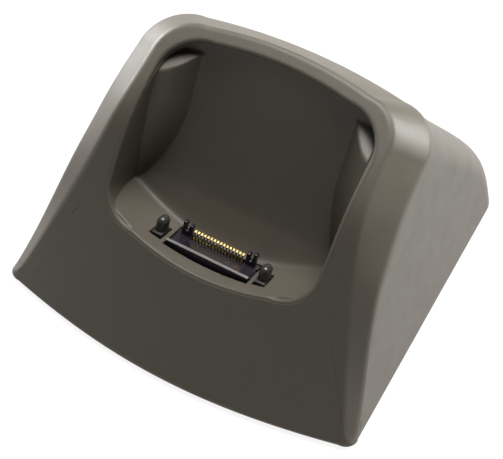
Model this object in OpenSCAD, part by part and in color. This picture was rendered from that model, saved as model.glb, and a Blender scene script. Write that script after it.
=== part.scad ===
// Charging cradle for a personal digital assistant.
// The front shell, the device well and the rear housing are smooth lofts, built ring by ring from
// a few curves. Everything inside, and everything that moves or fastens, is a plain solid.

/* [Body] */
// Width across the base
base_w = 112; // [106:0.5:118]
// Width between the front shell's upper corners
top_w = 84.6; // [82:0.1:88]
// Depth from the bowed front edge to the rear heel
body_depth = 120; // [116:0.5:126]
// Angle between the front panel's chord and the table
panel_tilt = 46.2; // [44:0.1:48]
// Length of the front panel along its chord
panel_length = 90.6; // [88:0.1:94]
// Wall thickness of the mouldings
wall = 2; // [1.6:0.1:2.4]
// Height of the rubber feet below the base plate
foot_proud = 1; // [0.6:0.1:2]

/* [Device well] */
// Width of the well at its rim
well_w = 63.8; // [60:0.2:66]
// Lean of the docked device from the vertical
device_lean = 19; // [16:0.5:22]
// Height of the well floor above the shell's lower edge, at the guide posts
floor_height = 25.2; // [24:0.1:26]

/* [Connector] */
// Number of contacts
contact_count = 16; // [16]
// Spacing of the contacts
contact_pitch = 1; // [0.9:0.05:1.05]
// Travel of a contact when a device is docked
contact_travel = 0.5; // [0.3:0.1:0.6]
// Tilt of the connector each way from rest
tilt_limit = 4; // [2:0.5:4]
// Distance between the guide posts
post_span = 32; // [31.6:0.2:32.4]

/* [Hidden] */
$fn = 48;
function contact_name(i) = str("contact_", i < 10 ? "0" : "", i);

// ---- The curves of the front shell, on the panel's chord plane: x across, v up the panel, h outwards
base_z = foot_proud;
half_base = base_w / 2;
half_top = top_w / 2;
shell_corner_r = 13;
shell_arch = 2.6;
crease_top_x = 34.6;
crease_top_v = panel_length - 2.3;
crease_corner_r = 11;
knee_v = 60;          // where the face turns from steep to shallow
knee_h = 23.1;
knee_drift = -0.05;
knee_sharpness = 0.31;
knee_width = 8;
edge_start = -2.6;    // the rear edge, out of the chord plane: where it starts at the base,
edge_rise = 12;       // its rise over the lower half
edge_fall = 11.5;     // and its fall to the top
edge_foot_y = 3.5;    // the rear edge leaves the base this far behind the panel's lower corners
lean_height = 70;     // the side walls lean inwards up to this height

function face_rise(v) = knee_h + knee_drift * (v - knee_v)
    - knee_sharpness * sqrt(pow(v - knee_v, 2) + pow(knee_width, 2));
function face_bow(v) = 0.6 + (face_rise(0) - 0.6) * pow(max(0, 1 - max(v, -6) / 75), 1.6);
function bow_x(v) = crease_top_x + (half_base - crease_top_x) * pow(min(1, max(0, 1 - v / 80)), 1.9);
function crease_x(v) = bow_x(v) - 2.4 * pow(min(1, max(0, 1 - v / 28)), 1.5);
function face_h(x, v) = face_rise(v) - face_bow(v) * pow(x / bow_x(v), 2);
function edge_h(v) = edge_start + edge_rise * pow(sin(90 * min(1, max(0, v) / 48)), 2)
    - edge_fall * pow(max(0, v - 60) / 30.6, 1.6);
function side_x(z) = half_top + (half_base - half_top) * pow(min(1, max(0, 1 - z / lean_height)), 1.45);
function edge_x(v) = side_x(v * sin(panel_tilt) + edge_h(v) * cos(panel_tilt));
// v at which the face meets the shell's lower edge
function foot_v(x, v = 0, n = 10) = n == 0 ? v : foot_v(x, -face_h(x, v) / tan(panel_tilt), n - 1);
function front_y(x) = foot_v(x) / cos(panel_tilt);
panel_y = -body_depth / 2 - front_y(0);
function panel(p) = [p[0],
    panel_y + p[1] * cos(panel_tilt) - p[2] * sin(panel_tilt),
    base_z + p[1] * sin(panel_tilt) + p[2] * cos(panel_tilt)];

// ---- Rings: half an outline from the lower middle to the upper middle, then mirrored
bottom_steps = 8;
corner_steps = 6;
side_steps = 9;
top_steps = 5;
function lerp(a, b, t) = a + (b - a) * t;
function blend(ring_a, ring_b, t) = [for (i = [0 : len(ring_a) - 1]) lerp(ring_a[i], ring_b[i], t)];
function closed(half) = concat(half,
    [for (i = [len(half) - 2 : -1 : 1]) [-half[i][0], half[i][1], half[i][2]]]);
function corner(cx, cv, r, from) = [for (i = [0 : corner_steps])
    let (a = from + 90 * i / corner_steps) [cx + r * cos(a), cv + r * sin(a)]];

// The rear edge of the front shell, moved inwards by inset
function edge_half(inset) = let (
        r = shell_corner_r - inset, v1 = panel_length - shell_corner_r, cx = edge_x(v1) - inset - r,
        rb = 4, xb = half_base - inset, y0 = front_y(xb - rb) + inset, v0 = edge_foot_y * cos(panel_tilt))
    concat(
        [for (i = [0 : bottom_steps]) let (x = (xb - rb) * i / bottom_steps, y = front_y(x) + inset)
            [x, y * cos(panel_tilt), -y * sin(panel_tilt)]],
        [for (i = [1 : corner_steps]) let (a = 90 * i / corner_steps, y = lerp(edge_foot_y, y0, cos(a)))
            [xb - rb * (1 - sin(a)), y * cos(panel_tilt), -y * sin(panel_tilt)]],
        [for (i = [1 : side_steps - 1]) let (v = lerp(v0, v1, i / side_steps))
            [edge_x(v) - inset, v, max(edge_h(v), -v * tan(panel_tilt))]],
        [for (p = corner(cx, v1, r, 0)) [p[0], p[1], edge_h(p[1])]],
        [for (i = [1 : top_steps]) let (x = cx * (1 - i / top_steps),
            v = panel_length - inset + shell_arch * (1 - pow(x / cx, 2))) [x, v, edge_h(v)]]);

// An outline on the face between the crease (inset 0) and the well. It drops below the face by drop, and
// by less near the lower corners, where face and flank meet at a thin edge. There flare draws it inwards.
function taper(v, least, full_v) = lerp(least, 1, min(1, max(0, v / full_v)));
function above_foot(v) = (0.1 - v * sin(panel_tilt)) / cos(panel_tilt);
function crease_half(inset, drop, flare = 0) = let (
        r = crease_corner_r - inset, v1 = crease_top_v - crease_corner_r, cx = crease_x(v1) - inset - r,
        rb = 1.5, xb = crease_x(0) - inset - 0.3 - flare)
    [for (p = concat(
        [for (i = [0 : bottom_steps]) let (x = (xb - rb) * i / bottom_steps) [x, foot_v(x) + 0.7 + inset]],
        [for (i = [1 : corner_steps]) let (a = 90 * i / corner_steps)
            [xb - rb * (1 - sin(a)), foot_v(xb - rb) + 0.7 + inset + rb * (1 - cos(a))]],
        let (v0 = foot_v(xb - rb) + 0.7 + inset + rb)
            [for (i = [1 : side_steps - 1]) let (v = lerp(v0, v1, i / side_steps))
                [crease_x(v) - inset - flare * pow(max(0, 1 - v / 40), 1.5), v]],
        corner(cx, v1, r, 0),
        [for (i = [1 : top_steps]) let (x = cx * (1 - i / top_steps))
            [x, crease_top_v - inset + shell_arch * (1 - pow(x / cx, 2))]]))
        [p[0], p[1], max(face_h(p[0], p[1]) - drop * taper(p[1], 0.1, 30), above_foot(p[1]))]];
function flat(half) = [for (p = half) [p[0], p[1]]];
function under_face(outline) = [for (p = outline) [p[0], p[1], face_h(p[0], p[1]) - wall * taper(p[1], 0.55, 20)]];

// ---- The device well
well_bottom_v = 26.8;
well_top_v = 85;
well_sag = 3.2;       // the lower edge is an arc that dips this far in the middle
well_arch = 2;
well_bottom_r = 11;
well_top_r = 12;
rim_w = 0.7;          // the well's wall stands this far outside its rim's inner edge
seat_gap = 0.2;       // between the well's rim and the front shell's opening

function well_half(grow) = let (
        hw = well_w / 2 + grow, rb = well_bottom_r + grow, rt = well_top_r + grow,
        cb = hw - rb, ct = hw - rt, v0 = well_bottom_v + well_sag + well_bottom_r, v1 = well_top_v - well_top_r)
    concat(
        [for (i = [0 : bottom_steps]) let (x = cb * i / bottom_steps)
            [x, well_bottom_v - grow + well_sag * pow(x / cb, 2)]],
        [for (i = [1 : corner_steps]) let (a = -90 + 90 * i / corner_steps) [cb + rb * cos(a), v0 + rb * sin(a)]],
        [for (i = [1 : side_steps - 1]) [hw, lerp(v0, v1, i / side_steps)]],
        corner(ct, v1, rt, 0),
        [for (i = [1 : top_steps]) let (x = ct * (1 - i / top_steps))
            [x, well_top_v + grow + well_arch * (1 - pow(x / ct, 2))]]);
function on_face(outline, drop) = [for (p = outline) [p[0], p[1], face_h(p[0], p[1]) - drop]];

// Depth of the well below the panel plane: its floor, its back wall and the corner guides
post_y = 17.7;        // the guide posts stand this far behind the panel's lower corners
lean_slope = tan(device_lean);
floor_drop = cos(panel_tilt) - lean_slope * sin(panel_tilt);
floor_fall = (sin(panel_tilt) + lean_slope * cos(panel_tilt)) / floor_drop;
floor_dish = 0.0085;  // the floor rises towards the sides with x squared, and a little at the front
function floor_h(x, v) = min(face_h(x, v) - 1.2, (floor_height + lean_slope * post_y + floor_dish * x * x
    + 0.7 * min(1, max(0, (30.8 - v) / 2.2))) / floor_drop - floor_fall * v);
function back_h(x, v) = -2.4 + 13.7 * pow(max(0, v - 45) / 40.5, 1.5) + 1.5 * pow(x / 31, 4);
guide_w = 8.5;        // the guides' width, and their height above the back wall
function guide_size(v) = guide_w * (1 - pow(min(1, max(0, (66 - v) / 26)), 1.7));
function guide_h(x, v) = let (w = guide_size(v), t = (abs(x) - (well_w / 2 - 0.6 - w)) / w)
    w == 0 || t <= 0 ? -99 : back_h(x, v) + w * sin(90 * min(1, t));
function ledge_h(v) = 61 - 0.63 * v;    // a plane that rises gently towards the back
function well_h(x, v) = max(floor_h(x, v), back_h(x, v), min(guide_h(x, v), ledge_h(v)));
floor_skin = 4.8;     // the wall under the steep floor, measured along h
function underside_h(x, v) = max(floor_h(x, v) - floor_skin, back_h(x, v) - 2.2, min(guide_h(x, v), ledge_h(v)) - 3);
well_mid = [0, 52];
function shrunk(outline, s) = [for (p = outline) well_mid + (p - well_mid) * s];

// ---- The rear housing: outlines on planes that fan out from the panel's lower corners
housing_inset = 0.2;
back_offset = 131.4;  // the sloping back is the line y + back_slope * z = back_offset
back_slope = 1.06;
heel_blend = 12;
fan_start = 4;
function smooth_min(a, b, k) = (a + b - sqrt(pow(a - b, 2) + k * k)) / 2;
heel_y = body_depth + front_y(0) + housing_inset;
rear_y = heel_y + pow(heel_blend, 2) / (4 * (back_offset - heel_y));   // smooth_min(rear_y, ...) is heel_y
function back_reach(a) = smooth_min(rear_y / cos(a), back_offset / (cos(a) + back_slope * sin(a)), heel_blend);
function reach(a, inset) = lerp(back_reach(a) - inset, panel_length - inset, pow(a / panel_tilt, 6));
function fan_h(r, a) = (edge_h(r) - 0.25 - 1.2 * pow(max(0, 1 - r / 22), 2)) * pow(a / panel_tilt, 2);
function fan_point(x, r, a) = let (h = fan_h(r, a))
    [x, panel_y + r * cos(a) - h * sin(a), base_z + r * sin(a) + h * cos(a)];
function fan_x(r, a, inset) = side_x(r * sin(a) + fan_h(r, a) * cos(a)) - inset;
function fan_half(a, inset) = let (
        rc = lerp(10, shell_corner_r, a / panel_tilt) - inset, top = reach(a, inset), r1 = top - rc,
        cx = fan_x(r1, a, inset) - rc, arch = shell_arch * pow(a / panel_tilt, 3))
    concat(
        [for (i = [0 : side_steps]) let (r = lerp(fan_start + inset, r1, i / side_steps))
            fan_point(fan_x(r, a, inset), r, a)],
        [for (i = [1 : corner_steps]) let (b = 90 * i / corner_steps)
            fan_point(cx + rc * cos(b), r1 + rc * sin(b), a)],
        [for (i = [1 : top_steps]) let (x = cx * (1 - i / top_steps))
            fan_point(x, top + arch * (1 - pow(x / cx, 2)), a)]);
function fan_row(a, inset) = let (half = fan_half(a, inset)) concat(half,
    [for (i = [len(half) - 2 : -1 : 0]) [-half[i][0], half[i][1], half[i][2]]]);
fan_angles = [0, 2.5, 6, 10, 15, 20, 26, 32, 38, 42, panel_tilt];

// ---- Meshes
// Closed rings stacked into a tube whose last ring joins its first
module ring_solid(rings) {
    n = len(rings[0]);
    m = len(rings);
    polyhedron(points = [for (r = rings) for (p = r) panel(p)],
        faces = [for (j = [0 : m - 1]) for (i = [0 : n - 1])
            let (a = j * n + i, b = j * n + (i + 1) % n, c = ((j + 1) % m) * n + i, d = ((j + 1) % m) * n + (i + 1) % n)
            each [[a, d, b], [a, c, d]]]);
}
// Closed rings that end in a point at both ends
module cup_solid(rings, first, last) {
    n = len(rings[0]);
    m = len(rings);
    polyhedron(points = concat([for (r = rings) for (p = r) panel(p)], [panel(first), panel(last)]),
        faces = concat(
            [for (j = [0 : m - 2]) for (i = [0 : n - 1])
                let (a = j * n + i, b = j * n + (i + 1) % n, c = a + n, d = b + n) each [[a, b, d], [a, d, c]]],
            [for (i = [0 : n - 1]) [i, m * n, (i + 1) % n]],
            [for (i = [0 : n - 1]) [(m - 1) * n + i, (m - 1) * n + (i + 1) % n, m * n + 1]]));
}
// Two open sheets, outer and inner, joined round their border
module sheet_solid(outer, inner) {
    n = len(outer[0]);
    m = len(outer);
    k = n * m;
    polyhedron(points = concat([for (r = outer) for (p = r) p], [for (r = inner) for (p = r) p]),
        faces = concat(
            [for (j = [0 : m - 2]) for (i = [0 : n - 2])
                let (a = j * n + i, b = a + 1, c = a + n, d = c + 1) each [[a, c, d], [a, d, b]]],
            [for (j = [0 : m - 2]) for (i = [0 : n - 2])
                let (a = k + j * n + i, b = a + 1, c = a + n, d = c + 1) each [[a, d, c], [a, b, d]]],
            [for (i = [0 : n - 2]) each [[i, i + 1, k + i + 1], [i, k + i + 1, k + i]]],
            [for (i = [0 : n - 2]) let (a = (m - 1) * n + i) each [[a, k + a + 1, a + 1], [a, k + a, k + a + 1]]],
            [for (j = [0 : m - 2]) let (a = j * n, c = a + n) each [[a, k + c, c], [a, k + a, k + c]]],
            [for (j = [0 : m - 2]) let (a = j * n + n - 1, c = a + n) each [[a, c, k + c], [a, k + c, k + a]]]));
}

// ---- Casing
screw_r = 1.1;
boss_r = 3;
plate_t = 2.4;
plate_gap = 0.3;
plate_top = base_z + plate_t;
front_boss = [38, 14];           // from the panel's lower corners, as are all the [x, y] places below
rear_boss = [36, 97];
rear_boss_h = 17;
face_skin = 0.7;                 // the front bosses stop this far under the outside of the face
function face_z(x, y, n = 10, v = 0) = n == 0
    ? base_z + v * sin(panel_tilt) + face_h(x, v) * cos(panel_tilt)
    : face_z(x, y, n - 1, (y + face_h(x, v) * sin(panel_tilt)) / cos(panel_tilt));
module at(place) { for (s = [-1, 1]) translate([s * place[0], panel_y + place[1], 0]) children(); }

module front_shell() {
    edge_out = edge_half(0);
    crease = crease_half(0.8, 0);
    rim = flat(well_half(rim_w + seat_gap));
    crease_in = flat(crease_half(1.3, 0, 6));
    edge_in = edge_half(wall);
    boss_top = face_z(front_boss[0] + boss_r, front_boss[1] - boss_r) - face_skin;
    color("#46433c") difference() {
        union() {
            ring_solid([for (half = [
                edge_out, blend(edge_out, crease_half(0, 0.9), 0.5), crease_half(0, 0.9), crease_half(0.2, 0.25),
                crease, on_face(blend(flat(crease), rim, 0.3), 0), on_face(blend(flat(crease), rim, 0.6), 0),
                on_face(blend(flat(crease), rim, 0.85), 0), on_face(rim, 0), on_face(rim, wall),
                under_face(blend(crease_in, rim, 0.7)), under_face(blend(crease_in, rim, 0.35)),
                under_face(crease_in), blend(edge_in, under_face(crease_in), 0.5), edge_in]) closed(half)]);
            at(front_boss) translate([0, 0, plate_top + plate_gap])
                cylinder(h = boss_top - plate_top - plate_gap, r = boss_r);
        }
        at(front_boss) cylinder(h = screw_top + 0.5, r = screw_r);
    }
}

// Slots in the well floor, in the dock's own axes
module floor_slots() {
    dock() translate([-connector_half - slot_side, connector_front - slot_swing, -6])
        cube([2 * (connector_half + slot_side), connector_depth + 2 * slot_swing, 12]);
    dock() for (s = [-1, 1]) translate([s * post_span / 2 - post_r - slot_side, post_front - slot_swing, -6])
        cube([2 * (post_r + slot_side), post_depth + 2 * slot_swing, 12]);
}
module device_well() {
    inside = flat(well_half(-0.6));
    outside = flat(well_half(rim_w));
    color("#3f3d37") difference() {
        cup_solid([for (half = concat(
            [for (s = [0.15, 0.35, 0.55, 0.7, 0.8, 0.88, 0.95, 1])
                [for (p = shrunk(inside, s)) [p[0], p[1], well_h(p[0], p[1])]]],
            [on_face(flat(well_half(-0.45)), 1.9), on_face(flat(well_half(-0.2)), 0.9),
             on_face(flat(well_half(0.1)), 0.2), on_face(flat(well_half(0.35)), 0), on_face(outside, 0.1),
             on_face(outside, wall + 0.4)],
            [for (s = [1, 0.9, 0.75, 0.55, 0.35, 0.15]) [for (p = shrunk(outside, s))
                [p[0], p[1], min(underside_h(p[0], p[1]), face_h(p[0], p[1]) - wall - 1)]]])) closed(half)],
            [0, well_mid[1], well_h(0, well_mid[1])], [0, well_mid[1], underside_h(0, well_mid[1])]);
        floor_slots();
    }
}

module rear_housing() {
    rib_end = side_x(rear_boss_h) - housing_inset - wall / 3;
    color("#8f8a80") difference() {
        union() {
            sheet_solid([for (a = fan_angles) fan_row(a, housing_inset)],
                [for (a = fan_angles) fan_row(a, housing_inset + wall)]);
            at(rear_boss) translate([0, 0, plate_top + plate_gap]) cylinder(h = rear_boss_h - plate_gap, r = boss_r);
            for (s = [-1, 1]) translate([s * (rear_boss[0] + rib_end) / 2, panel_y + rear_boss[1], base_z + 14])
                cube([rib_end - rear_boss[0], 1.6, 7], center = true);
        }
        at(rear_boss) cylinder(h = screw_top + 0.5, r = screw_r);
        translate([jack_x, panel_y + board_y1 - 5, jack_z]) rotate([-90, 0, 0]) cylinder(h = 30, r = jack_hole_r);
        translate([port_x - port_hole_w / 2, panel_y + board_y1 - 5, port_z - port_hole_h / 2])
            cube([port_hole_w, 30, port_hole_h]);
    }
}

// The walls lean inwards, so the plate stands clear of them at its top face
plate_side = wall + plate_gap + half_base - side_x(plate_t);
plate_front = wall + plate_gap + 2.3;
plate_start = 9;
plate_corner_r = 6;
function plate_outline() = let (x1 = half_base - housing_inset - plate_side, x0 = x1 - plate_corner_r,
        y0 = front_y(x0) + plate_front, row = fan_row(0, housing_inset + plate_side))
    concat([for (i = [-8 : 8]) let (x = x0 * i / 8) [x, panel_y + front_y(x) + plate_front]],
        [for (a = [15 : 15 : 90]) [x1 - plate_corner_r * (1 - sin(a)), panel_y + lerp(plate_start, y0, cos(a))]],
        [for (p = row) if (p[1] > panel_y + plate_start) [p[0], p[1]]],
        [for (a = [90 : -15 : 15]) [-x1 + plate_corner_r * (1 - sin(a)), panel_y + lerp(plate_start, y0, cos(a))]]);
screw_head_r = 2.2;
screw_head_h = 1.4;
screw_top = base_z + 11;
foot_r = 5;
foot_recess = 0.8;
foot_front = [44, 8];
foot_rear = [41, 86];
board_post = [26, 70];
board_y0 = 66;
board_y1 = 103;
board_z = plate_top + 4;
board_t = 1.6;
ballast_place = [28, 49];
module base_plate() {
    color("#3b3a36") difference() {
        union() {
            translate([0, 0, base_z]) linear_extrude(plate_t) polygon(plate_outline());
            for (y = [board_post[1], board_y1 - 6]) at([board_post[0], y]) translate([0, 0, plate_top])
                cylinder(h = board_z - plate_top, r = 2.6);
            at([bracket_screw_x, pivot_y]) translate([0, 0, plate_top]) cylinder(h = 2, r = boss_r);
        }
        at(foot_front) cylinder(h = base_z + foot_recess, r = foot_r + 0.15);
        at(foot_rear) cylinder(h = base_z + foot_recess, r = foot_r + 0.15);
        for (place = [front_boss, rear_boss]) at(place) {
            cylinder(h = base_z + screw_head_h, r = screw_head_r + 0.2);
            cylinder(h = 10, r = screw_r + 0.2);
        }
        for (y = [board_post[1], board_y1 - 6]) at([board_post[0], y]) translate([0, 0, base_z + 1])
            cylinder(h = 20, r = 0.8);
        at([bracket_screw_x, pivot_y]) translate([0, 0, base_z + 1]) cylinder(h = 20, r = 0.8);
        at(ballast_place) translate([0, 0, base_z + 1]) cylinder(h = 20, r = 0.8);
    }
}
module foot(side, place) {
    color("#26262a") translate([side * place[0], panel_y + place[1], 0]) union() {
        cylinder(h = foot_proud + foot_recess, r = foot_r - 0.4);
        translate([0, 0, 0.4]) cylinder(h = foot_proud + foot_recess - 0.4, r = foot_r);
    }
}
// Pan-head screw standing on its tip's side of z = 0: the head is above, the shank runs down
module pan_screw(shank) {
    translate([0, 0, -shank]) cylinder(h = shank, r = 0.8);
    difference() {
        union() {
            cylinder(h = 0.8, r = 1.7);
            cylinder(h = 1.2, r = 1.4);
        }
        for (a = [0, 90]) rotate(a) translate([-1, -0.2, 0.6]) cube([2, 0.4, 1]);
    }
}
module base_screws() {
    color("#b9bbc0") for (place = [front_boss, rear_boss]) at(place) translate([0, 0, base_z]) difference() {
        union() {
            cylinder(h = screw_head_h - 0.1, r = screw_head_r);
            cylinder(h = screw_top - base_z, r = screw_r - 0.05);
        }
        for (a = [0, 90]) rotate(a) translate([-1.2, -0.3, -0.1]) cube([2.4, 0.6, 0.9]);
    }
}
ballast_size = [72, 26, 5];
module ballast_plate() {
    color("#7b7d80") difference() {
        translate([-ballast_size[0] / 2, panel_y + ballast_place[1] - ballast_size[1] / 2, plate_top])
            cube(ballast_size);
        at(ballast_place) cylinder(h = 30, r = 1);
    }
}
module ballast_screws() {
    color("#b9bbc0") at(ballast_place) translate([0, 0, plate_top + ballast_size[2]]) pan_screw(ballast_size[2] + 1.2);
}

// ---- Electronics
jack_x = -15;
jack_r = 2.75;
jack_size = [9, 12, 9];
jack_z = board_z + board_t + jack_size[2] / 2;
jack_hole_r = 4.6;
port_x = 10;
port_size = [7.7, 9, 3.9];
port_z = board_z + board_t + port_size[2] / 2;
port_hole_w = 10;
port_hole_h = 6.4;
board_half = 30;
board_top = board_z + board_t;
module main_board() {
    color("#1f5a3a") difference() {
        translate([-board_half, panel_y + board_y0, board_z]) cube([2 * board_half, board_y1 - board_y0, board_t]);
        for (y = [board_post[1], board_y1 - 6]) at([board_post[0], y]) cylinder(h = 30, r = 1);
    }
}
module board_screws() {
    color("#b9bbc0") for (y = [board_post[1], board_y1 - 6]) at([board_post[0], y])
        translate([0, 0, board_top]) pan_screw(board_t + 3.5);
}
module on_board(x, y) { translate([x, panel_y + y, board_top]) children(); }
module dc_jack_body() {
    color("#1c1c1e") on_board(jack_x, board_y1 - jack_size[1]) difference() {
        translate([-jack_size[0] / 2, 0, 0]) cube(jack_size);
        translate([0, 3, jack_size[2] / 2]) rotate([-90, 0, 0]) cylinder(h = 20, r = jack_r);
    }
}
module dc_jack_pin() {
    color("#c9c6bd") on_board(jack_x, board_y1 - jack_size[1] + 3) translate([0, 0, jack_size[2] / 2])
        rotate([-90, 0, 0]) union() {
            cylinder(h = 7.6, r = 0.8);
            translate([0, 0, 7.6]) sphere(r = 0.8);
        }
}
module data_port_shell() {
    color("#b9bbc0") on_board(port_x, board_y1 - port_size[1] + 0.6) difference() {
        translate([-port_size[0] / 2, 0, 0]) cube(port_size);
        translate([-port_size[0] / 2 + 0.4, 1, 0.4]) cube([port_size[0] - 0.8, 20, port_size[2] - 0.8]);
    }
}
module data_port_tongue() {
    color("#1c1c1e") on_board(port_x, board_y1 - port_size[1] + 1.6)
        translate([-2.6, 0, 1.9]) cube([5.2, 6.4, 1]);
}
module charge_chip() { color("#222224") on_board(-9, 78) translate([-2.5, -2.5, 0]) cube([5, 5, 1]); }
module interface_chip() { color("#222224") on_board(7, 80) translate([-3.5, -3.5, 0]) cube([7, 7, 1.2]); }
module power_inductor() {
    color("#3a3a3d") on_board(-19, 78) union() {
        translate([-3.2, -3.2, 0]) cube([6.4, 6.4, 0.8]);
        cylinder(h = 3, r = 2.8);
    }
}
module filter_capacitors() {
    color("#a9abb0") for (i = [0, 1]) on_board(17 + 7 * i, 79) union() {
        translate([-2.7, -2.7, 0]) cube([5.4, 5.4, 0.8]);
        cylinder(h = 5.8, r = 2.4);
    }
}
ribbon_w = 12;
ribbon_t = 0.3;
module ribbon_socket() {
    color("#e4ddc8") on_board(0, board_y0 + 0.5) difference() {
        translate([-ribbon_w / 2 - 1.5, 0, 0]) cube([ribbon_w + 3, 4, 2]);
        translate([-ribbon_w / 2 - 0.3, -1, 0.9]) cube([ribbon_w + 0.6, 4, 0.6]);
    }
}
// A strip of even thickness along a path in the plane
function strip(path, t) = let (n = len(path) - 1,
        side = [for (i = [0 : n]) let (d = path[min(n, i + 1)] - path[max(0, i - 1)])
            [-d[1], d[0]] / norm(d) * t / 2])
    concat([for (i = [0 : n]) path[i] + side[i]], [for (i = [n : -1 : 0]) path[i] - side[i]]);
function bezier(a, b, c, d, n) = [for (i = [0 : n]) let (t = i / n)
    a * pow(1 - t, 3) + b * 3 * t * pow(1 - t, 2) + c * 3 * t * t * (1 - t) + d * pow(t, 3)];
module ribbon_cable() {
    top = [pivot_y + 4.1, pivot_z - 4.6];
    low = [ballast_place[1] - 10, board_top + 1.2];
    path = concat(bezier(top, top + [0.5, -5], low - [14, 0], low, 12), [[board_y0 + 2.5, board_top + 1.2]]);
    color("#b9772f") translate([ribbon_w / 2, panel_y, 0]) rotate([90, 0, -90]) mirror([1, 0, 0])
        linear_extrude(ribbon_w) polygon(strip(path, ribbon_t));
}

// ---- Connector, in the dock's own axes: x across, y back along the well floor, z along the device
connector_half = 12.7;
connector_front = -3.66;
connector_depth = 9.2;
connector_low = -3.6;
ledge_top = 2.65;
deck_top = 1.7;
slot_side = 0.3;
slot_swing = 1;
post_r = 1.55;
post_front = -2.9;
post_depth = 5.1;
post_stem = 1.5;      // the stem is this much deeper than it is wide
post_top = 6.8;
carrier_half = 20.4;
carrier_t = 3;
pivot_p = 1;          // the pivot's place in the dock's axes
pivot_q = -5.1;
pivot_y = post_y + pivot_p * cos(device_lean) + pivot_q * sin(device_lean);
pivot_z = base_z + floor_height - pivot_p * sin(device_lean) + pivot_q * cos(device_lean);
pin_r = 1;
pin_clearance = 0.05;
bracket_screw_x = 27;
flange_z = plate_top + 2;
flange_t = 2;
contact_p = 4.2;
contact_w = 0.55;
contact_t = 0.3;
spring_x = 17.6;
spring_r = 1.6;
spring_wire = 0.45;
spring_reach = 3.6;   // distance of a spring's axis from the pivot
spring_low = flange_z + flange_t;
spring_high = base_z + 13;
module dock() { translate([0, panel_y + post_y, base_z + floor_height]) rotate([-device_lean, 0, 0]) children(); }

module connector_carrier() {
    color("#242427") difference() {
        union() {
            dock() translate([-carrier_half, -4.4, connector_low - carrier_t]) cube([2 * carrier_half, 11.2, carrier_t]);
            dock() for (s = [-1, 1]) translate([s > 0 ? 18 : -carrier_half, pivot_p, pivot_q]) rotate([0, 90, 0])
                cylinder(h = carrier_half - 18, r = 2.4);
            for (x = [-spring_x, spring_x]) for (s = [-1, 1])
                translate([x, panel_y + pivot_y + s * spring_reach, spring_high])
                    cylinder(h = pivot_z - spring_high - s * 1.2, r = spring_r + 0.5);
        }
        dock() translate([-carrier_half - 1, pivot_p, pivot_q]) rotate([0, 90, 0])
            cylinder(h = 2 * carrier_half + 2, r = pin_r + pin_clearance);
        dock() translate([-contact_count * contact_pitch / 2 - 0.6, contact_p - 0.9, -10])
            cube([contact_count * contact_pitch + 1.2, 1.8, 12]);
    }
}
module guide_post(side) {
    color("#45423c") dock() translate([side * post_span / 2, 0, 0]) union() {
        translate([-post_r, post_front, connector_low]) cube([2 * post_r, post_depth, ledge_top - connector_low]);
        translate([-post_r, -post_stem / 2, 0]) cube([2 * post_r, post_stem, post_top - post_r]);
        for (p = [-post_stem / 2, post_stem / 2]) translate([0, p, 0]) {
            cylinder(h = post_top - post_r, r = post_r);
            translate([0, 0, post_top - post_r]) sphere(r = post_r);
        }
        translate([0, post_stem / 2, post_top - post_r]) rotate([90, 0, 0]) cylinder(h = post_stem, r = post_r);
    }
}
board_low = connector_low - carrier_t - 1;
module connector_board() {
    color("#1f5a3a") dock() difference() {
        translate([-14, 0.2, board_low]) cube([28, 6.6, 1]);
        translate([-contact_count * contact_pitch / 2 - 0.4, contact_p - 0.6, board_low - 1])
            cube([contact_count * contact_pitch + 0.8, 1.2, 3]);
    }
}
function contact_x(i) = (i - (contact_count + 1) / 2) * contact_pitch;
module connector_housing() {
    color("#1e1d21") dock() difference() {
        union() {
            translate([-connector_half, connector_front, connector_low])
                cube([2 * connector_half, connector_depth, deck_top - connector_low]);
            translate([-connector_half + 0.2, connector_front, connector_low])
                cube([2 * connector_half - 0.4, 1.1, ledge_top - connector_low]);
        }
        translate([-contact_count * contact_pitch / 2 - 0.3, contact_p - 1.5, 0])
            cube([contact_count * contact_pitch + 0.6, 2.5, 5]);
        for (i = [1 : contact_count]) translate([contact_x(i) - contact_w / 2 - 0.1, contact_p - 0.4, -10])
            cube([contact_w + 0.2, 0.8, 15]);
    }
}
horn_top = 5.8;
horn_w = 3;
horn_in = 8.5;        // inner side and back of a horn
horn_back = 5.4;
module alignment_horn(side) {
    color("#19191c") dock() mirror([side > 0 ? 0 : 1, 0, 0]) translate([horn_in, horn_back, deck_top])
        rotate([90, 0, 0])
        linear_extrude(2) polygon([[0, 0], [horn_w, 0], [horn_w, horn_top - deck_top - 0.5],
            [horn_w - 0.5, horn_top - deck_top], [horn_w - 1.1, horn_top - deck_top - 0.3], [horn_w - 1.1, 1.6],
            [1.1, 1.6], [1.1, horn_top - deck_top - 0.9], [0.6, horn_top - deck_top - 0.4],
            [0, horn_top - deck_top - 1]]);
}
// Spring finger: a straight tail through the housing and a bowed, hooked head
module contact(i) {
    path = concat([[contact_p, board_low - 1], [contact_p, 0.8]],
        bezier([contact_p - 0.05, 1.3], [contact_p - 0.9, 2.2], [contact_p - 0.9, 3.6], [contact_p, 4.1], 5),
        [[contact_p + 0.5, 4.0], [contact_p + 0.8, 3.5]]);
    color("#d8b45a") dock() translate([contact_x(i) - contact_w / 2, 0, 0]) rotate([90, 0, 90])
        linear_extrude(contact_w) polygon(strip(path, contact_t));
}

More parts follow.
